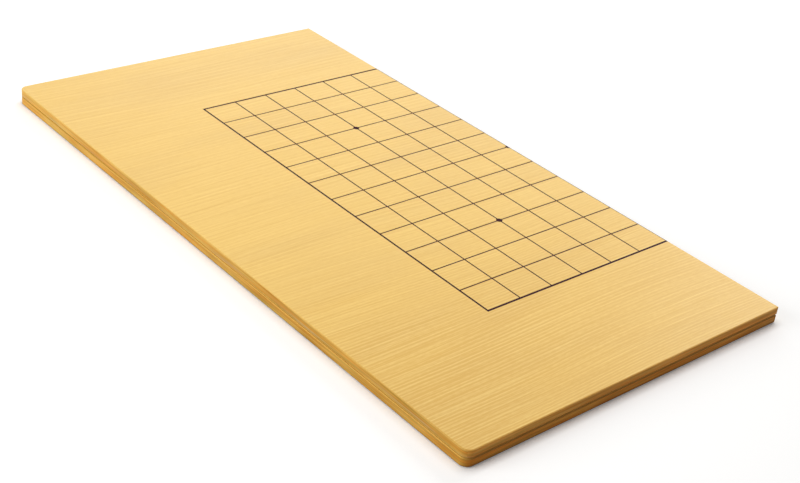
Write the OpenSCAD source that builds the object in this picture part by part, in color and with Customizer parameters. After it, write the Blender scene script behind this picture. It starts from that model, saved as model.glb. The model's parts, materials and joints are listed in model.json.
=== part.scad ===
// Folding go board, drawn folded shut: two thin veneered leaves hinged along one long edge.
// The outer faces carry the small grid and the inner faces the large grid, at the same pitch.
// X runs across the leaves towards the fold, Y runs along the fold and Z points up.
// The origin is on the table, under the middle of the folded board.

/* [Playing grids] */
// Spacing between the lines that run along the fold
pitch_across = 23.6; // [18:0.1:26]
// Spacing between the lines that run across the fold
pitch_along = 22.1; // [18:0.1:26]
// Lines each way on the large grid, inside the fold
large_lines = 19; // [15:2:21]
// Lines each way on the small grid, on the outer faces
small_lines = 13; // [9:2:13]
// Cells from the border of a grid to its star points
star_cells = 3; // [2:1:3]
// Diameter of a star point
star_diameter = 3.8; // [2:0.1:6]
// Width of the lines inside a grid
line_width = 0.85; // [0.4:0.05:1.2]
// Width of the border line along each side of a grid
side_border_width = 1.2; // [0.6:0.05:2]
// Width of the heavier border line across each end of a grid
end_border_width = 1.4; // [0.6:0.05:2]
// Depth to which the print sinks into the veneer
print_depth = 0.1; // [0.05:0.01:0.2]

/* [Leaves] */
// Thickness of one leaf
leaf_thickness = 4.8; // [4.5:0.1:9]
// Space between the folded leaves
fold_gap = 0.4; // [0.2:0.05:1]
// How far the fold edges stop short of the hinge axis
fold_relief = 0.05; // [0.02:0.01:0.2]
// Wood beyond the large grid at each end of the fold
end_margin = 13.1; // [8:0.1:30]
// Wood beyond the large grid at the long edge away from the fold
side_margin = 15.6; // [8:0.1:30]
// Radius of the two corners away from the fold
corner_radius = 4.8; // [3:0.1:15]
// Bevel that eases the edges of the faces
edge_bevel = 0.3; // [0.1:0.05:0.4]
// Thickness of the veneer on each face
veneer_thickness = 0.5; // [0.45:0.05:0.8]
// Width of the solid wood strips round the core
lipping_width = 10; // [8:0.5:25]

/* [Hinges] */
// Length of a hinge along the fold
hinge_length = 18; // [14:0.5:20]
// Cell, counted from the border of the large grid, whose middle a hinge takes
hinge_cell = 2; // [1:1:5]
// Knuckles in a hinge
knuckle_count = 3; // [3, 5]
// Diameter of the knuckles
knuckle_diameter = 2.4; // [2:0.1:2.8]
// Diameter of the hinge pin
pin_diameter = 1.2; // [0.8:0.1:1.4]
// Thickness of a hinge plate
plate_thickness = 0.6; // [0.55:0.05:0.8]
// Wood between a hinge plate and the outer face of its leaf
plate_margin = 0.9; // [0.85:0.05:1.1]

/* [Hinge screws] */
// Length of a screw, with its head
screw_length = 7; // [4:0.5:9]
// Diameter of the shank
screw_diameter = 1; // [0.8:0.1:1.2]
// Diameter of the countersunk head
head_diameter = 2; // [1.6:0.1:2.2]
// Height of the countersunk head
head_height = 0.5; // [0.3:0.05:0.55]
// Length of the point
point_length = 1.2; // [0.5:0.1:2]
// Width of the driver slot
slot_width = 0.3; // [0.2:0.05:0.5]
// Depth of the driver slot
slot_depth = 0.25; // [0.1:0.05:0.3]
// Distance between the two screws of a plate
screw_spacing = 11; // [8:0.5:14]

/* [Clearances] */
// Round the pin in the knuckles that turn on it
running_clearance = 0.04; // [0.02:0.01:0.1]
// Round pieces that are fixed: pins, plates and screws in their seats
seat_clearance = 0.02; // [0.01:0.01:0.05]
// Between a turning knuckle and the wood or plate round it
knuckle_relief = 0.3; // [0.2:0.05:0.4]
// Between neighbouring knuckles
knuckle_gap = 0.2; // [0.1:0.05:0.4]

/* [Hidden] */

// Segments in a full circle
$fn = 96;

// Ends of the fold, as signs along Y
near = -1;
far = 1;

// How far a cut runs on past the face that it opens
cut_past = 1;

// Colours of the wood, the print and the metal
veneer_colour = "#ecc780";
lipping_colour = "#cf9c4f";
core_colour = "#b98c58";
print_colour = "#2b2320";
brass_colour = "#c9a354";
steel_colour = "#b9bcc0";

// Cells from the middle line of each grid to its border
large_half = (large_lines - 1) / 2;
small_half = (small_lines - 1) / 2;

// Edges of a leaf, measured from the hinge axis and from the middle of the fold
fold_x = -fold_relief;
long_x = -(large_half * pitch_across + side_margin);
end_y = large_half * pitch_along + end_margin;
core_thickness = leaf_thickness - 2 * veneer_thickness;
bevel = min(edge_bevel, veneer_thickness - print_depth);

// Hinge axis, placed so that the origin is under the middle of the whole folded board
knuckle_radius = knuckle_diameter / 2;
axis_x = -(long_x + knuckle_radius) / 2;
axis_z = leaf_thickness + fold_gap / 2;

// Hinges, measured from the hinge axis
hinge_y = (large_half - hinge_cell + 0.5) * pitch_along;
pin_radius = pin_diameter / 2;
relief_radius = knuckle_radius + knuckle_relief;
knuckle_length = (hinge_length - (knuckle_count - 1) * knuckle_gap) / knuckle_count;
plate_foot = axis_z - plate_margin;
plate_root = (pin_radius + knuckle_radius) / 2;
screw_drop = (plate_foot + relief_radius) / 2;

// Star points, in cells from the middle of the board: across, then along
small_star = small_half - star_cells;
small_stars = [[small_star, -small_star], [small_star, small_star], [0, 0]];
large_star = large_half - star_cells;
large_stars = [for (across = [0, large_star], along = [-large_star, 0, large_star]) [across, along]];

// Places a leaf's piece, drawn from the hinge axis and with the leaf's outer face down, in the lower leaf
module lower() {
    translate([axis_x, 0, 0])
        children();
}

// Places the same piece in the upper leaf, which is the lower leaf's mirror image
module upper() {
    translate([axis_x, 0, 2 * axis_z])
        mirror([0, 0, 1])
            children();
}

// Places a hinge's piece, drawn round the hinge axis, at one end of the fold
module hinge(end) {
    translate([axis_x, end * hinge_y, axis_z])
        children();
}

// Leaf in plan: the corners away from the fold are round
module leaf_plan() {
    translate([long_x + corner_radius, -end_y])
        square([fold_x - long_x - corner_radius, 2 * end_y]);
    translate([long_x, corner_radius - end_y])
        square([fold_x - long_x, 2 * (end_y - corner_radius)]);
    for (end = [near, far])
        translate([long_x + corner_radius, end * (end_y - corner_radius)])
            circle(corner_radius);
}

// Layer between the veneers, cut to a plan
module middle_layer() {
    translate([0, 0, veneer_thickness])
        linear_extrude(core_thickness)
            children();
}

// Veneer sheet, with its eased face at the bottom
module veneer_sheet() {
    rotate([90, 0, 0])
        translate([0, 0, corner_radius - end_y])
            linear_extrude(2 * (end_y - corner_radius))
                polygon([
                    [fold_x, 0],
                    [fold_x, veneer_thickness],
                    [long_x, veneer_thickness],
                    [long_x, bevel],
                    [long_x + bevel, 0]
                ]);
    rotate([90, 0, 90])
        translate([0, 0, long_x + corner_radius])
            linear_extrude(fold_x - long_x - corner_radius)
                polygon([
                    [end_y - bevel, 0],
                    [end_y, bevel],
                    [end_y, veneer_thickness],
                    [-end_y, veneer_thickness],
                    [-end_y, bevel],
                    [bevel - end_y, 0]
                ]);
    for (end = [near, far])
        translate([long_x + corner_radius, end * (end_y - corner_radius), 0])
            rotate_extrude()
                polygon([
                    [0, 0],
                    [corner_radius - bevel, 0],
                    [corner_radius, bevel],
                    [corner_radius, veneer_thickness],
                    [0, veneer_thickness]
                ]);
}

// Lines of one half of a grid in plan, from its border up to the fold, which cuts the middle line in half
module lines_plan(half) {
    across = half * pitch_across + side_border_width / 2;
    along = half * pitch_along + end_border_width / 2;
    for (cell = [0 : half]) {
        width = cell == half ? side_border_width : line_width;
        left = -cell * pitch_across - width / 2;
        right = cell == 0 ? fold_x : left + width;
        translate([left, -along])
            square([right - left, 2 * along]);
    }
    for (cell = [-half : half]) {
        width = abs(cell) == half ? end_border_width : line_width;
        translate([-across, cell * pitch_along - width / 2])
            square([across + fold_x, width]);
    }
}

// Star points of one half of a grid in plan; the fold cuts those on the middle line in half
module stars_plan(stars) {
    intersection() {
        union()
            for (star = stars)
                translate([-star[0] * pitch_across, star[1] * pitch_along])
                    circle(d = star_diameter);
        translate([long_x, -end_y])
            square([fold_x - long_x, 2 * end_y]);
    }
}

// Print sunk into the outer face, or the cut for it when it has a mouth
module on_outer_face(mouth = 0) {
    translate([0, 0, -mouth])
        linear_extrude(print_depth + mouth)
            children();
}

// Print sunk into the inner face, or the cut for it when it has a mouth
module on_inner_face(mouth = 0) {
    translate([0, 0, leaf_thickness - print_depth])
        linear_extrude(print_depth + mouth)
            children();
}

// Cylinder along the hinge axis
module barrel(radius, length) {
    rotate([90, 0, 0])
        cylinder(r = radius, h = length, center = true);
}

// Puts a cylinder at every other knuckle of a hinge, from the first one given
module at_knuckles(first) {
    for (index = [first : 2 : knuckle_count - 1])
        translate([0, (index + 0.5) * knuckle_length + index * knuckle_gap - hinge_length / 2, 0])
            children();
}

// Puts a screw, drawn along Z with its head at the origin, at both places in a hinge plate
module at_screws() {
    for (end = [near, far])
        translate([fold_x, end * screw_spacing / 2, -screw_drop])
            rotate([0, -90, 0])
                children();
}

// Countersunk screw without its slot
module screw_blank(clearance = 0) {
    head = head_diameter / 2 + clearance;
    shank = screw_diameter / 2 + clearance;
    rotate_extrude()
        polygon([
            [0, 0],
            [head, 0],
            [shank, head_height],
            [shank, screw_length - point_length],
            [0, screw_length + clearance]
        ]);
}

// Hole for a screw, open past the head
module screw_hole() {
    screw_blank(seat_clearance);
    translate([0, 0, -cut_past])
        cylinder(d = head_diameter + 2 * seat_clearance, h = cut_past);
}

// Cuts in a leaf for its two hinges: room for the knuckles, seats for the plates and screw holes
module hinge_cuts() {
    seat_foot = plate_foot + seat_clearance;
    seat_back = plate_thickness + seat_clearance;
    seat_length = hinge_length + 2 * seat_clearance;
    for (end = [near, far])
        translate([0, end * hinge_y, axis_z]) {
            barrel(relief_radius, hinge_length + 2 * knuckle_gap);
            translate([fold_x - seat_back, -seat_length / 2, -seat_foot])
                cube([seat_back + cut_past, seat_length, seat_foot - plate_root]);
            at_screws()
                screw_hole();
        }
}

// Flat panel in the middle of a leaf
module core() {
    color(core_colour)
        difference() {
            middle_layer()
                translate([long_x + lipping_width, lipping_width - end_y])
                    square([fold_x - long_x - 2 * lipping_width, 2 * (end_y - lipping_width)]);
            hinge_cuts();
        }
}

// Strip along the edge away from the fold, mitred to the strips at the ends
module long_lipping() {
    color(lipping_colour)
        middle_layer()
            intersection() {
                leaf_plan();
                polygon([
                    [long_x, -end_y],
                    [long_x + lipping_width, lipping_width - end_y],
                    [long_x + lipping_width, end_y - lipping_width],
                    [long_x, end_y]
                ]);
            }
}

// Strip along one end, mitred to the long strip and square at the fold
module end_lipping(end) {
    color(lipping_colour)
        middle_layer()
            intersection() {
                leaf_plan();
                polygon([
                    [long_x, end * end_y],
                    [fold_x, end * end_y],
                    [fold_x, end * (end_y - lipping_width)],
                    [long_x + lipping_width, end * (end_y - lipping_width)]
                ]);
            }
}

// Strip along the fold, between the strips at the ends, that holds the hinges
module fold_lipping() {
    color(lipping_colour)
        difference() {
            middle_layer()
                translate([fold_x - lipping_width, lipping_width - end_y])
                    square([lipping_width, 2 * (end_y - lipping_width)]);
            hinge_cuts();
        }
}

// Veneer of the outer face, with the small grid sunk into it
module outer_veneer() {
    color(veneer_colour)
        difference() {
            veneer_sheet();
            on_outer_face(cut_past) {
                lines_plan(small_half);
                stars_plan(small_stars);
            }
            hinge_cuts();
        }
}

// Veneer of the inner face, with the large grid sunk into it
module inner_veneer() {
    color(veneer_colour)
        difference() {
            translate([0, 0, leaf_thickness])
                mirror([0, 0, 1])
                    veneer_sheet();
            on_inner_face(cut_past) {
                lines_plan(large_half);
                stars_plan(large_stars);
            }
            hinge_cuts();
        }
}

// Printed lines of the small grid
module outer_grid_lines() {
    color(print_colour)
        on_outer_face()
            difference() {
                lines_plan(small_half);
                stars_plan(small_stars);
            }
}

// Printed star points of the small grid
module outer_star_points() {
    color(print_colour)
        on_outer_face()
            stars_plan(small_stars);
}

// Printed lines of the large grid, cut where the hinges are let in
module inner_grid_lines() {
    color(print_colour)
        difference() {
            on_inner_face()
                difference() {
                    lines_plan(large_half);
                    stars_plan(large_stars);
                }
            hinge_cuts();
        }
}

// Printed star points of the large grid
module inner_star_points() {
    color(print_colour)
        difference() {
            on_inner_face()
                stars_plan(large_stars);
            hinge_cuts();
        }
}

// Hinge plate with every other knuckle, cut back round the knuckles of the other plate
module hinge_plate(first_knuckle, bore_clearance) {
    difference() {
        union() {
            difference() {
                translate([fold_x - plate_thickness, -hinge_length / 2, -plate_foot])
                    cube([plate_thickness, hinge_length, plate_foot - plate_root]);
                at_knuckles(1 - first_knuckle)
                    barrel(relief_radius, knuckle_length + 2 * knuckle_gap);
            }
            at_knuckles(first_knuckle)
                barrel(knuckle_radius, knuckle_length);
        }
        barrel(pin_radius + bore_clearance, hinge_length + 2 * cut_past);
        at_screws()
            screw_hole();
    }
}

// Plate in the lower leaf, whose outer knuckles hold the pin
module lower_plate() {
    color(brass_colour)
        hinge_plate(0, seat_clearance);
}

// Plate in the upper leaf, whose knuckle turns on the pin
module upper_plate() {
    color(brass_colour)
        mirror([0, 0, 1])
            hinge_plate(1, running_clearance);
}

// Pin of a hinge, as long as its knuckles
module hinge_pin() {
    color(steel_colour)
        barrel(pin_radius, hinge_length);
}

// Two screws of the plate in the lower leaf
module lower_screws() {
    color(brass_colour)
        at_screws()
            difference() {
                screw_blank();
                cube([slot_width, head_diameter + cut_past, 2 * slot_depth], center = true);
            }
}

// Two screws of the plate in the upper leaf
module upper_screws() {
    mirror([0, 0, 1])
        lower_screws();
}

lower() core();  // lower_core
lower() long_lipping();  // lower_long_lipping
lower() end_lipping(near);  // lower_near_lipping
lower() end_lipping(far);  // lower_far_lipping
lower() fold_lipping();  // lower_fold_lipping
lower() outer_veneer();  // lower_outer_veneer
lower() inner_veneer();  // lower_inner_veneer
lower() outer_grid_lines();  // lower_outer_grid_lines
lower() outer_star_points();  // lower_outer_star_points
lower() inner_grid_lines();  // lower_inner_grid_lines
lower() inner_star_points();  // lower_inner_star_points
upper() core();  // upper_core
upper() long_lipping();  // upper_long_lipping
upper() end_lipping(near);  // upper_near_lipping
upper() end_lipping(far);  // upper_far_lipping
upper() fold_lipping();  // upper_fold_lipping
upper() outer_veneer();  // upper_outer_veneer
upper() inner_veneer();  // upper_inner_veneer
upper() outer_grid_lines();  // upper_outer_grid_lines
upper() outer_star_points();  // upper_outer_star_points
upper() inner_grid_lines();  // upper_inner_grid_lines
upper() inner_star_points();  // upper_inner_star_points
hinge(near) lower_plate();  // near_hinge_lower_plate
hinge(near) upper_plate();  // near_hinge_upper_plate
hinge(near) hinge_pin();  // near_hinge_pin
hinge(near) lower_screws();  // near_hinge_lower_screws
hinge(near) upper_screws();  // near_hinge_upper_screws
hinge(far) lower_plate();  // far_hinge_lower_plate
hinge(far) upper_plate();  // far_hinge_upper_plate
hinge(far) hinge_pin();  // far_hinge_pin
hinge(far) lower_screws();  // far_hinge_lower_screws
hinge(far) upper_screws();  // far_hinge_upper_screws
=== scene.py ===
"""Looks of the folding go board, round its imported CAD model. Lengths are in metres unless named mm."""

import json
import math

import bpy
from mathutils import Matrix, Vector


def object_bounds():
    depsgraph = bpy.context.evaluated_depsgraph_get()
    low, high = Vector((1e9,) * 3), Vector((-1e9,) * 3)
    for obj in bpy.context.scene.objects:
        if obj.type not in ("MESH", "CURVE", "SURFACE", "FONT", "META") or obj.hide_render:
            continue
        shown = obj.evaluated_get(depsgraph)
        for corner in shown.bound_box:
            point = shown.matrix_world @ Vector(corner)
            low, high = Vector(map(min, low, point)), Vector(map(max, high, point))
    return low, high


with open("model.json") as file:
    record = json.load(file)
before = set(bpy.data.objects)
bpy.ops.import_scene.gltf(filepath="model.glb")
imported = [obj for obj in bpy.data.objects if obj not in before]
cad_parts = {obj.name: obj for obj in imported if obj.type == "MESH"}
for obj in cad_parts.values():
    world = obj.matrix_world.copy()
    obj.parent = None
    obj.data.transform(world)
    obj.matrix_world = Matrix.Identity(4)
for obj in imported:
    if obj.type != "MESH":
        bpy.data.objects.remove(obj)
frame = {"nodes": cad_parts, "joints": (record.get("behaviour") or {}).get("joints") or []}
CAD_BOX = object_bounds()

MM = 0.001
IN_MM = (1.0 / MM, 1.0 / MM, 1.0 / MM)
FOLD_X = frame["joints"][0]["pos_m"][0]
HALF_LENGTH_MM = CAD_BOX[1][1] / MM
LEAF_WIDTH_MM = (FOLD_X - CAD_BOX[0][0]) / MM
TOP_MM = CAD_BOX[1][2] / MM
PARTING_MM = TOP_MM / 2.0

# Camera: solved from the crossings of the printed grid and the edges of the board
CAMERA_PLACE = (-0.4809, -0.5369, 0.3981)
CAMERA_AIM = (-0.0235, -0.0561, 0.0100)
CAMERA_ROLL = math.radians(7.21)
CAMERA_LENS_MM = 62.91
SENSOR_WIDTH_MM = 36.0

# Floor and light
FLOOR_SIZE = 12.0
FLOOR_DROP = 0.2 * MM
FLOOR_SEEN = (0.97, 0.965, 0.955)
FLOOR_BOUNCE = (0.65, 0.64, 0.62)
# The floor keeps its shadow round the board, and from the first distance to the second it turns plain white
FLOOR_GLOW = 0.08
FLOOR_SHADED = 0.40
FLOOR_WHITE = 0.66
WORLD_LIGHT = 0.28
WHITE = (1.0, 1.0, 1.0)
# Each lamp: its place, its width, its height and its power
LAMPS = {
    "key_above": ((0.0, 0.07, 1.00), 0.95, 0.50, 5.9),
    "fill_left": ((-1.20, 0.30, 0.45), 0.9, 0.9, 9.0),
    "sheen_right": ((1.65, 0.45, 1.00), 0.7, 0.7, 7.7),
    "sheen_back": ((1.40, 1.45, 0.70), 1.8, 0.5, 7.4),
}
LAMP_AIM = (0.0, 0.05, 0.0)
# Lamps that may show in the gloss of the board
SHEEN_LAMPS = ("sheen_right", "sheen_back")

# Colours, as linear values
FACE_LIGHT = (0.857, 0.590, 0.178)
FACE_DARK = (0.738, 0.450, 0.102)
TAN_LIGHT = (0.797, 0.543, 0.174)
TAN_DARK = (0.683, 0.412, 0.100)
LONG_STRIP = ((0.50, 0.250, 0.038), (0.81, 0.465, 0.101))
# Each edge: dark and light streaks, first where it faces along X and then where it faces along Y
EDGE_COLOURS = {
    "upper": (LONG_STRIP, ((0.47, 0.195, 0.029), (0.76, 0.345, 0.064))),
    # The lower leaf's ends are painted darker than the upper leaf's: painted shade on the near wall's lower
    # half
    "lower": (LONG_STRIP, ((0.38, 0.145, 0.019), (0.67, 0.280, 0.042))),
    "rim": (((0.58, 0.325, 0.060), (0.86, 0.545, 0.138)), ((0.74, 0.362, 0.063), (0.98, 0.520, 0.105))),
    # Parting: the long side is painted pale, painted light over the slot's shade, and the ends dark as its
    # shade
    "parting": (((0.62, 0.345, 0.046), (0.90, 0.535, 0.125)), ((0.16, 0.060, 0.010), (0.31, 0.122, 0.018))),
    # Foot: painted shade, a dark line where the lower leaf meets the floor
    "foot": (((0.20, 0.110, 0.028), (0.36, 0.210, 0.060)), ((0.08, 0.034, 0.007), (0.18, 0.075, 0.015))),
}
# Paler upper arris: partly from rubbing, partly painted light
EDGE_RUBBED_AND_LIT = (0.88, 0.590, 0.165)
# Painted shade at the foot of the ends
EDGE_FOOT_SHADE = (0.16, 0.066, 0.012)
EDGE_GREY = (0.60, 0.390, 0.185)
# Tints of the stain from patch to patch
TINT_AMBER = (1.05, 0.91, 0.74)
TINT_OLIVE = (0.95, 1.08, 1.22)
CORE_LIGHT = (0.52, 0.36, 0.19)
CORE_DARK = (0.33, 0.21, 0.10)
INK_DARK = (0.028, 0.009, 0.014)
INK_LIGHT = (0.054, 0.018, 0.024)
BRASS_CLEAN = (0.78, 0.57, 0.24)
BRASS_DULL = (0.50, 0.33, 0.12)
STEEL_CLEAN = (0.62, 0.62, 0.63)
STEEL_DULL = (0.38, 0.38, 0.39)

# Gloss of the thin finish, where 0.5 is a thick lacquer
OUTER_GLOSS = 0.2
INNER_GLOSS = 0.06
EDGE_GLOSS = 0.04
INK_GLOSS = 0.03
# Roughness where a surface's noise is low and where it is high
FACE_ROUGHNESS = (0.42, 0.34)
STRIP_ROUGHNESS = (0.5, 0.4)
INK_ROUGHNESS = (0.5, 0.62)
METAL_ROUGHNESS = (0.42, 0.26)
CORE_ROUGHNESS = 0.85
# Fine relief: its depth and its strength
FACE_RELIEF = (0.02 * MM, 0.35)
STRIP_RELIEF = (0.03 * MM, 0.4)
CORE_RELIEF = (0.1 * MM, 0.4)
INK_RELIEF = (0.01 * MM, 0.3)
METAL_RELIEF = (0.01 * MM, 0.3)

# Kinds of noise: detail and roughness
SMOOTH = (0.0, 0.5)
WAVY = (1.0, 0.5)
PLAIN = (2.0, 0.5)
FIBROUS = (2.0, 0.6)
ROUGH = (3.0, 0.6)
COARSE = (4.0, 0.7)
# Middle of a noise, and the two levels between which it mostly stays
NOISE_MIDDLE = 0.5
NOISE_RANGE = (0.3, 0.7)
# Streaks: length and width in mm, what is added to the seed to keep them apart, and the kind of noise
FACE_PATCH = (130.0, 38.0, 9.7, PLAIN)
FACE_FIBRE = (12.0, 0.6, 0.0, PLAIN)
STRIP_WAVE = (60.0, 9.0, 0.0, WAVY)
STRIP_STREAK = (45.0, 0.9, 3.1, ROUGH)
STRIP_PATCH = (35.0, 14.0, 7.7, PLAIN)
STRIP_TINT = (45.0, 2.0, 11.9, PLAIN)
STRIP_WEAR = (35.0, 1.0, 15.1, PLAIN)
INK_BLOTCH = (3.0, 0.6, 0.0, ROUGH)
METAL_LINE = (6.0, 0.08, 0.0, PLAIN)
# Seeds of the faces, of each leaf's strips, and the step from one strip to the next
OUTER_SEED = 11.0
INNER_SEED = 47.0
STRIP_SEEDS = {"lower": 20.0, "upper": 60.0}
STRIP_SEED_STEP = 5.3

# Grain of a face, in mm
# Bends: length, width and how far they carry the grain
FACE_BENDS = ((210.0, 80.0, 16.0), (90.0, 20.0, 1.6), (45.0, 8.0, 0.4))
# Streaks: length, width and weight
FACE_STREAKS = ((4.0, 0.8, 1.3), (20.0, 1.0, 0.8), (80.0, 0.7, 2.6), (140.0, 1.2, 0.8), (200.0, 4.0, 0.1),
                (400.0, 11.0, 0.08))
# Spacing of the rings at both ends, their weight, and the mean of the squared wave that makes them
RING_NEAR = 1.8
RING_FAR = 4.2
RING_WEIGHT = 0.68
RING_MIDDLE = 3.0 / 8.0
# The grain is strong at the near end, and calms down between these two places, the rings more
# than the streaks. It is weaker at the fold than at the outer edge. Painted shade darkens the near end,
# standing in for light that falls off there, and fades out between the same two places
STRONG_Y = -150.0
CALM_Y = -60.0
CALM_SHARE = 0.56
FOLD_SHARE = 0.45
STRONG_SHADE = 0.25
# The wood is fully light at this level of the grain, and fully dark as far below zero
GRAIN_REACH = 0.5
# Tan wood: from this share of the leaf's width outwards at the near end, and in patches between two levels
TAN_START = 0.55
STRONG_TAN = 0.7
PATCH_LEVELS = (0.45, 0.75)
PATCH_TAN = 0.75

# How far a surface faces along Y where an edge changes its colours, and along Z where it becomes a face
END_FACING = (0.2, 0.95)
FACE_FACING = (0.8, 0.95)
# Along the fold, the rim's stain, the parting's painted light and the foot's painted shade change: two
# places in mm, and how pale the edge is at each
EDGE_TRENDS = {
    "rim": (-210.0, -80.0, 0.0, 0.5),
    # The parting's rise paints light over the slot's shade on the near side
    "parting": (40.0, 110.0, 0.4, 0.0),
    # The foot's painted shade grows paler towards the far end
    "foot": (-210.0, 210.0, 0.1, 0.4),
}
# How much paler the fibres can make them
EDGE_FIBRE = 0.5

# Stain of the strips: how far waves carry its streaks, in mm, and how far these climb for each mm across
STRIP_BEND_MM = 1.5
GRAIN_LEAN = 0.15
# Weights of the streaks and patches, and the levels between which their sum goes from dark to light
STREAK_WEIGHT = 0.75
PATCH_WEIGHT = 0.45
STAIN_LEVELS = (0.42, 0.76)
# Strips along the fold are stained deep at the near end and pale at the far end
STAIN_NEAR = -0.30
STAIN_FAR = 0.22
# Levels between which the tint goes from amber to olive
TINT_LEVELS = (0.38, 0.62)
# Upper arris, paler from rubbing and from painted light, as on a rounder arris turned to the light:
# how far down in mm, how much, and the levels of wear where it starts and ends
RUBBED_AND_LIT_MM = 1.5
RUBBED_AND_LIT_SHARE = 0.9
RUBBED_AND_LIT_LEVELS = (0.4, 0.6)
# Grey wear: its middle above the parting and its reach in mm, how much, and its levels of wear
WORN_RISE_MM = 1.0
WORN_MM = 2.4
WORN_SHARE = 0.8
WORN_LEVELS = (0.5, 0.64)
# Painted shade at the foot of the ends, darker towards the floor: how far up in mm, and how much
FOOT_SHADE_MM = 1.9
FOOT_SHADE_SHARE = 0.6

# Metal: weights of the drawn lines and the dull film, and the levels where it starts and ends turning clean
LINE_WEIGHT = 0.3
FILM_WEIGHT = 0.7
METAL_LEVELS = (0.35, 0.65)
# How fast the film changes along the fold, where it changes at a rate of 1 across it
FILM_RATE = 0.6

# Each leaf: whether its grain is mirrored, and the edge of its outer veneer
LEAVES = {"lower": (False, "foot"), "upper": (True, "rim")}
# Each strip round a leaf: whether it runs along the fold
STRIPS = {"long_lipping": True, "fold_lipping": True, "near_lipping": False, "far_lipping": False}

# Sockets of the Mix node that hold colours
MIX_FIRST = 6
MIX_SECOND = 7
MIX_RESULT = 2


class Tree:
    """Short calls that build the nodes of one material or of the world."""

    def __init__(self, owner, shader):
        owner.use_nodes = True
        self.owner = owner
        self.nodes = owner.node_tree.nodes
        self.links = owner.node_tree.links
        self.shader = self.nodes[shader]

    def put(self, socket, value):
        """Links a socket to another node's output, or gives it a value. Colours are made opaque."""
        if isinstance(value, bpy.types.NodeSocket):
            self.links.new(value, socket)
        elif socket.type == "RGBA":
            socket.default_value = (*value, 1.0)
        else:
            socket.default_value = value

    def add(self, kind, inputs, **settings):
        """New node. Its inputs are given by the socket's name or number."""
        node = self.nodes.new("ShaderNode" + kind)
        for key, value in settings.items():
            setattr(node, key, value)
        for key, value in inputs.items():
            self.put(node.inputs[key], value)
        return node

    def math(self, operation, first, second=0.0):
        """Result of one step of arithmetic."""
        return self.add("Math", {0: first, 1: second}, operation=operation).outputs[0]

    def weighted(self, *pairs):
        """Sum of values, each times its weight."""
        total = 0.0
        for value, weight in pairs:
            total = self.math("ADD", total, self.math("MULTIPLY", value, weight))
        return total

    def spread(self, value, low, high, to_low=0.0, to_high=1.0):
        """Takes low to high on to to_low to to_high, and stops at both ends."""
        inputs = {"Value": value, "From Min": low, "From Max": high, "To Min": to_low, "To Max": to_high}
        return self.add("MapRange", inputs).outputs["Result"]

    def mix(self, factor, first, second):
        """Mix of two colours."""
        inputs = {"Factor": factor, MIX_FIRST: first, MIX_SECOND: second}
        return self.add("Mix", inputs, data_type="RGBA").outputs[MIX_RESULT]

    def place(self, scale, move=(0.0, 0.0, 0.0)):
        """Place on the piece, moved and then scaled, split into its three numbers."""
        where = self.add("TexCoord", {}).outputs["Object"]
        moved = self.add("VectorMath", {0: where, 1: move}, operation="SUBTRACT").outputs[0]
        scaled = self.add("VectorMath", {0: moved, 1: scale}, operation="MULTIPLY").outputs[0]
        return self.add("SeparateXYZ", {0: scaled}).outputs

    def slope(self, axis):
        """How far the surface faces along an axis, either way, from 0 to 1."""
        normal = self.add("TexCoord", {}).outputs["Normal"]
        return self.math("ABSOLUTE", self.add("SeparateXYZ", {0: normal}).outputs[axis])

    def vector(self, x, y, z):
        """Three numbers joined into one place."""
        return self.add("CombineXYZ", {0: x, 1: y, 2: z}).outputs[0]

    def noise(self, vector, kind):
        """Noise of a kind, with features about one unit across, from 0 to 1."""
        detail, roughness = kind
        inputs = {"Vector": vector, "Scale": 1.0, "Detail": detail, "Roughness": roughness}
        return self.add("TexNoise", inputs).outputs["Fac"]

    def streaks(self, along, across, shape, seed=0.0):
        """Noise drawn out into streaks, for a place given in mm."""
        length, width, apart, kind = shape
        steps = (self.math("DIVIDE", along, length), self.math("DIVIDE", across, width))
        return self.noise(self.vector(*steps, seed + apart), kind)

    def seen(self):
        """1 for a ray that shows the surface, straight, in a gloss or through glass, or else 0."""
        path = self.add("LightPath", {}).outputs
        shown = self.math("MAXIMUM", path["Is Camera Ray"], path["Is Glossy Ray"])
        return self.math("MAXIMUM", shown, path["Is Transmission Ray"])

    def bump(self, height, distance, strength):
        """Fine relief on the shader."""
        inputs = {"Height": height, "Distance": distance, "Strength": strength}
        self.put(self.shader.inputs["Normal"], self.add("Bump", inputs).outputs["Normal"])

    def gloss(self, level):
        """How much the surface mirrors."""
        self.put(self.shader.inputs["Specular IOR Level"], level)

    def finish(self, colour, roughness):
        """Puts the colour and the roughness on the shader, and gives back the finished material."""
        self.put(self.shader.inputs["Base Color"], colour)
        self.put(self.shader.inputs["Roughness"], roughness)
        return self.owner


def new_material(name):
    """Empty material and its nodes."""
    return Tree(bpy.data.materials.new(name), "Principled BSDF")


def edge_mix(tree, level, colours):
    """Stained edge, with painted shade and light in some pairs of colours: one pair where it faces along X
    and the other where it faces along Y.
    """
    long_side, end_side = (tree.mix(level, dark, light) for dark, light in colours)
    return tree.mix(tree.spread(tree.slope("Y"), *END_FACING), long_side, end_side)


def bent_grain(tree, x, y, seed):
    """Place along the fold, carried to and fro in waves."""
    bent = y
    for length, width, shift in FACE_BENDS:
        wave = tree.math("SUBTRACT", tree.streaks(x, y, (length, width, width, SMOOTH), seed), NOISE_MIDDLE)
        bent = tree.math("ADD", bent, tree.math("MULTIPLY", wave, shift))
    return bent


def year_rings(tree, bent):
    """Year rings that widen evenly from the near end to the far end, with a mean of zero."""
    growth = (RING_FAR - RING_NEAR) / (2.0 * HALF_LENGTH_MM)
    spacing = tree.spread(bent, -HALF_LENGTH_MM, HALF_LENGTH_MM, RING_NEAR, RING_FAR)
    count = tree.math("DIVIDE", tree.math("LOGARITHM", spacing, math.e), growth)
    wave = tree.spread(tree.math("SINE", tree.math("MULTIPLY", count, math.tau)), -1.0, 1.0)
    return tree.math("SUBTRACT", tree.math("MULTIPLY", wave, wave), RING_MIDDLE)


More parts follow.
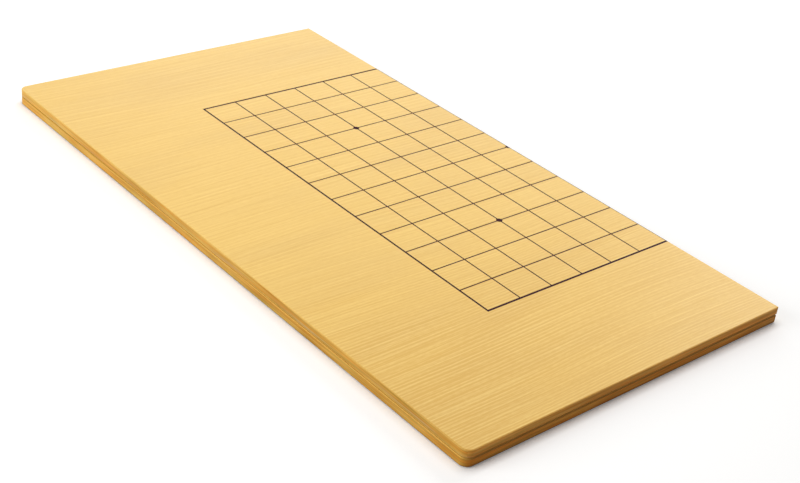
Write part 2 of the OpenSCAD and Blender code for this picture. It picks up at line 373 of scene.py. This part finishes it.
def face_grain(tree, x, y, near, outer, seed):
    """Wavy year rings with fibres along them, less painted shade at the near end."""
    bent = bent_grain(tree, x, y, seed)
    strong = tree.math("MULTIPLY", near, tree.spread(outer, 0.0, 1.0, FOLD_SHARE, 1.0))
    strength = tree.spread(strong, 0.0, 1.0, CALM_SHARE, 1.0)
    grain = tree.math("MULTIPLY", tree.math("MULTIPLY", year_rings(tree, bent), RING_WEIGHT), strength)
    for length, width, weight in FACE_STREAKS:
        streak = tree.streaks(x, bent, (length, width, length, FIBROUS), seed)
        shade = tree.math("MULTIPLY", tree.math("SUBTRACT", streak, NOISE_MIDDLE), weight)
        grain = tree.math("ADD", grain, shade)
    # Painted shade: the near end is darker, standing in for light that falls off there
    near_shade = tree.math("MULTIPLY", near, STRONG_SHADE)
    return tree.math("SUBTRACT", tree.math("MULTIPLY", grain, strength), near_shade)


def face_wood(tree, grain, x, y, near, outer, seed):
    """Colour of a face: pale, tan in patches, and tan at the outer edge of the near end."""
    patch = tree.streaks(x, y, FACE_PATCH, seed)
    edge_tan = tree.math("MULTIPLY", near, tree.spread(outer, TAN_START, 1.0, 0.0, STRONG_TAN))
    tan = tree.math("ADD", tree.spread(patch, *PATCH_LEVELS, 0.0, PATCH_TAN), edge_tan)
    dark = tree.mix(tan, FACE_DARK, TAN_DARK)
    light = tree.mix(tan, FACE_LIGHT, TAN_LIGHT)
    return tree.mix(tree.spread(grain, -GRAIN_REACH, GRAIN_REACH), dark, light)


def face_material(name, mirrored, seed, edge, gloss):
    """Pale veneer with fine grain across the fold, painted shade at the near end, and stained edges.

    The grain of both leaves meets at the fold when the board is open. The edges also hold painted shade
    at the foot, and painted shade and light at the parting.
    """
    tree = new_material(name)
    side = -1.0 if mirrored else 1.0
    x, y, _ = tree.place((side / MM, 1.0 / MM, 1.0 / MM), (FOLD_X, 0.0, 0.0))
    near = tree.spread(y, STRONG_Y, CALM_Y, 1.0, 0.0)
    outer = tree.math("DIVIDE", tree.math("ABSOLUTE", x), LEAF_WIDTH_MM)
    grain = face_grain(tree, x, y, near, outer, seed)
    wood = face_wood(tree, grain, x, y, near, outer, seed)
    fibre = tree.streaks(x, y, FACE_FIBRE, seed)
    trend = tree.spread(y, *EDGE_TRENDS[edge])
    level = tree.math("ADD", tree.spread(fibre, *NOISE_RANGE, 0.0, EDGE_FIBRE), trend)
    edge_wood = edge_mix(tree, level, EDGE_COLOURS[edge])
    steep = tree.spread(tree.slope("Z"), *FACE_FACING, 1.0, 0.0)
    tree.bump(grain, *FACE_RELIEF)
    tree.gloss(gloss)
    return tree.finish(tree.mix(steep, wood, edge_wood), tree.spread(fibre, *NOISE_RANGE, *FACE_ROUGHNESS))


def strip_level(tree, along, section, seed):
    """Level of a strip's stain, in streaks along the strip, and the streaks alone."""
    wave = tree.streaks(along, section, STRIP_WAVE, seed)
    bent = tree.math("ADD", section, tree.math("MULTIPLY", wave, STRIP_BEND_MM))
    streak = tree.streaks(along, bent, STRIP_STREAK, seed)
    patch = tree.streaks(along, section, STRIP_PATCH, seed)
    level = tree.weighted((streak, STREAK_WEIGHT), (patch, PATCH_WEIGHT))
    return tree.spread(level, *STAIN_LEVELS), streak


def strip_wear_and_painted_light(tree, colour, z, wear):
    """Adds grey wear above the parting, an upper arris paler from rubbing and from painted light,
    and painted shade at the foot of the ends, to the colour of a strip.
    """
    apart = tree.math("ABSOLUTE", tree.math("SUBTRACT", z, PARTING_MM + WORN_RISE_MM))
    band = tree.spread(apart, 0.0, WORN_MM, WORN_SHARE, 0.0)
    worn = tree.math("MULTIPLY", tree.spread(wear, *WORN_LEVELS), band)
    colour = tree.mix(tree.math("MULTIPLY", worn, tree.slope("X")), colour, EDGE_GREY)
    # Paler upper arris of the long sides: partly from rubbing, partly painted light as on a rounder arris
    arris = tree.spread(z, TOP_MM - RUBBED_AND_LIT_MM, TOP_MM, 0.0, RUBBED_AND_LIT_SHARE)
    rubbed_and_lit = tree.math("MULTIPLY", tree.spread(wear, *RUBBED_AND_LIT_LEVELS), arris)
    colour = tree.mix(tree.math("MULTIPLY", rubbed_and_lit, tree.slope("X")), colour, EDGE_RUBBED_AND_LIT)
    # Painted shade: the ends darken towards the floor
    foot = tree.spread(z, 0.0, FOOT_SHADE_MM, FOOT_SHADE_SHARE, 0.0)
    return tree.mix(tree.math("MULTIPLY", foot, tree.slope("Y")), colour, EDGE_FOOT_SHADE)


def lipping_material(name, along_fold, colours, seed):
    """Solid wood strip with its grain along its length, stained golden brown in amber and olive patches."""
    # Besides the stain, the lower leaf's ends carry painted shade, and the upper arris partly painted light
    tree = new_material(name)
    x, y, z = tree.place(IN_MM)
    along, across = (y, x) if along_fold else (x, y)
    section = tree.math("ADD", z, tree.math("MULTIPLY", across, GRAIN_LEAN))
    level, streak = strip_level(tree, along, section, seed)
    if along_fold:
        trend = tree.spread(y, -HALF_LENGTH_MM, HALF_LENGTH_MM, STAIN_NEAR, STAIN_FAR)
        level = tree.math("ADD", level, trend)
    patch = tree.spread(tree.streaks(along, section, STRIP_TINT, seed), *TINT_LEVELS)
    tint = tree.mix(patch, TINT_AMBER, TINT_OLIVE)
    stain = edge_mix(tree, level, colours)
    tinted = tree.add("VectorMath", {0: stain, 1: tint}, operation="MULTIPLY").outputs[0]
    wear = tree.streaks(along, section, STRIP_WEAR, seed)
    tree.bump(streak, *STRIP_RELIEF)
    tree.gloss(EDGE_GLOSS)
    roughness = tree.spread(streak, *NOISE_RANGE, *STRIP_ROUGHNESS)
    return tree.finish(strip_wear_and_painted_light(tree, tinted, z, wear), roughness)


def core_material():
    """Pressed wood fibre of the hidden panel."""
    tree = new_material("core_fibre")
    fibre = tree.noise(tree.vector(*tree.place(IN_MM)), COARSE)
    tree.bump(fibre, *CORE_RELIEF)
    return tree.finish(tree.mix(tree.spread(fibre, *NOISE_RANGE), CORE_DARK, CORE_LIGHT), CORE_ROUGHNESS)


def ink_material():
    """Dark brown print, a little uneven where the wood takes it."""
    tree = new_material("grid_ink")
    x, y, _ = tree.place(IN_MM)
    uneven = tree.streaks(x, y, INK_BLOTCH)
    tree.bump(uneven, *INK_RELIEF)
    tree.gloss(INK_GLOSS)
    colour = tree.mix(tree.spread(uneven, *NOISE_RANGE), INK_DARK, INK_LIGHT)
    return tree.finish(colour, tree.spread(uneven, *NOISE_RANGE, *INK_ROUGHNESS))


def metal_material(name, clean, dull):
    """Drawn metal with fine lines along the fold and a dull film in places."""
    tree = new_material(name)
    x, y, z = tree.place(IN_MM)
    line = tree.streaks(y, tree.math("ADD", x, z), METAL_LINE)
    film = tree.noise(tree.vector(x, tree.math("MULTIPLY", y, FILM_RATE), z), ROUGH)
    tree.bump(line, *METAL_RELIEF)
    tree.put(tree.shader.inputs["Metallic"], 1.0)
    level = tree.weighted((line, LINE_WEIGHT), (film, FILM_WEIGHT))
    colour = tree.mix(tree.spread(level, *METAL_LEVELS), dull, clean)
    return tree.finish(colour, tree.spread(film, *NOISE_RANGE, *METAL_ROUGHNESS))


def floor_material():
    """Paper that looks white and gives back less light than it shows."""
    tree = new_material("floor_paper")
    seen = tree.seen()
    where = tree.add("TexCoord", {}).outputs["Object"]
    away = tree.add("VectorMath", {0: where}, operation="LENGTH").outputs["Value"]
    glow = tree.spread(away, FLOOR_SHADED, FLOOR_WHITE, FLOOR_GLOW, 1.0)
    tree.gloss(0.0)
    tree.put(tree.shader.inputs["Emission Color"], WHITE)
    tree.put(tree.shader.inputs["Emission Strength"], tree.math("MULTIPLY", seen, glow))
    return tree.finish(tree.mix(seen, FLOOR_BOUNCE, FLOOR_SEEN), 1.0)


def veneer_looks():
    """Material of each veneer, by the node's name."""
    looks = {}
    for leaf, (mirrored, edge) in LEAVES.items():
        outer = f"{leaf}_outer_veneer"
        inner = f"{leaf}_inner_veneer"
        looks[outer] = face_material(outer + "_wood", mirrored, OUTER_SEED, edge, OUTER_GLOSS)
        looks[inner] = face_material(inner + "_wood", mirrored, INNER_SEED, "parting", INNER_GLOSS)
    return looks


def strip_looks():
    """Material of each strip, by the node's name."""
    looks = {}
    for number, (strip, along_fold) in enumerate(STRIPS.items()):
        for leaf, first_seed in STRIP_SEEDS.items():
            name = f"{leaf}_{strip}"
            seed = first_seed + STRIP_SEED_STEP * number
            looks[name] = lipping_material(name + "_wood", along_fold, EDGE_COLOURS[leaf], seed)
    return looks


def dress_nodes():
    """Gives every CAD node the material whose key ends its name."""
    ink = ink_material()
    brass = metal_material("hinge_brass", BRASS_CLEAN, BRASS_DULL)
    steel = metal_material("pin_steel", STEEL_CLEAN, STEEL_DULL)
    looks = veneer_looks() | strip_looks() | {"core": core_material()}
    looks |= {"grid_lines": ink, "star_points": ink, "plate": brass, "screws": brass, "pin": steel}
    for name, piece in frame["nodes"].items():
        look = next(look for ending, look in looks.items() if name.endswith(ending))
        piece.data.materials.clear()
        piece.data.materials.append(look)


def make_camera():
    """Camera at the photograph's place and angle."""
    data = bpy.data.cameras.new("camera")
    data.lens = CAMERA_LENS_MM
    data.sensor_width = SENSOR_WIDTH_MM
    data.sensor_fit = "HORIZONTAL"
    camera = bpy.data.objects.new("camera", data)
    gaze = Vector(CAMERA_AIM) - Vector(CAMERA_PLACE)
    turn = gaze.to_track_quat("-Z", "Y").to_matrix().to_4x4()
    camera.matrix_world = Matrix.Translation(CAMERA_PLACE) @ turn @ Matrix.Rotation(CAMERA_ROLL, 4, "Z")
    bpy.context.scene.collection.objects.link(camera)
    bpy.context.scene.camera = camera


def make_floor():
    """Square floor just under the board."""
    half = FLOOR_SIZE / 2.0
    square = ((-half, -half), (half, -half), (half, half), (-half, half))
    mesh = bpy.data.meshes.new("floor")
    mesh.from_pydata([(x, y, -FLOOR_DROP) for x, y in square], [], [(0, 1, 2, 3)])
    mesh.materials.append(floor_material())
    floor = bpy.data.objects.new("floor", mesh)
    bpy.context.scene.collection.objects.link(floor)


def make_world():
    """Even light from all round, which is seen as white."""
    tree = Tree(bpy.data.worlds.new("studio"), "Background")
    tree.put(tree.shader.inputs["Color"], WHITE)
    tree.put(tree.shader.inputs["Strength"], tree.spread(tree.seen(), 0.0, 1.0, WORLD_LIGHT, 1.0))
    bpy.context.scene.world = tree.owner


def make_lamps():
    """Large soft lamps, all turned to the board."""
    for name, (place, width, height, power) in LAMPS.items():
        data = bpy.data.lights.new(name, "AREA")
        data.shape = "RECTANGLE"
        data.size = width
        data.size_y = height
        data.energy = power
        lamp = bpy.data.objects.new(name, data)
        lamp.location = place
        lamp.visible_glossy = name in SHEEN_LAMPS
        lamp.rotation_euler = (Vector(LAMP_AIM) - Vector(place)).to_track_quat("-Z", "Y").to_euler()
        bpy.context.scene.collection.objects.link(lamp)


make_camera()
dress_nodes()
make_floor()
make_world()
make_lamps()
bpy.context.scene.view_settings.view_transform = "Standard"
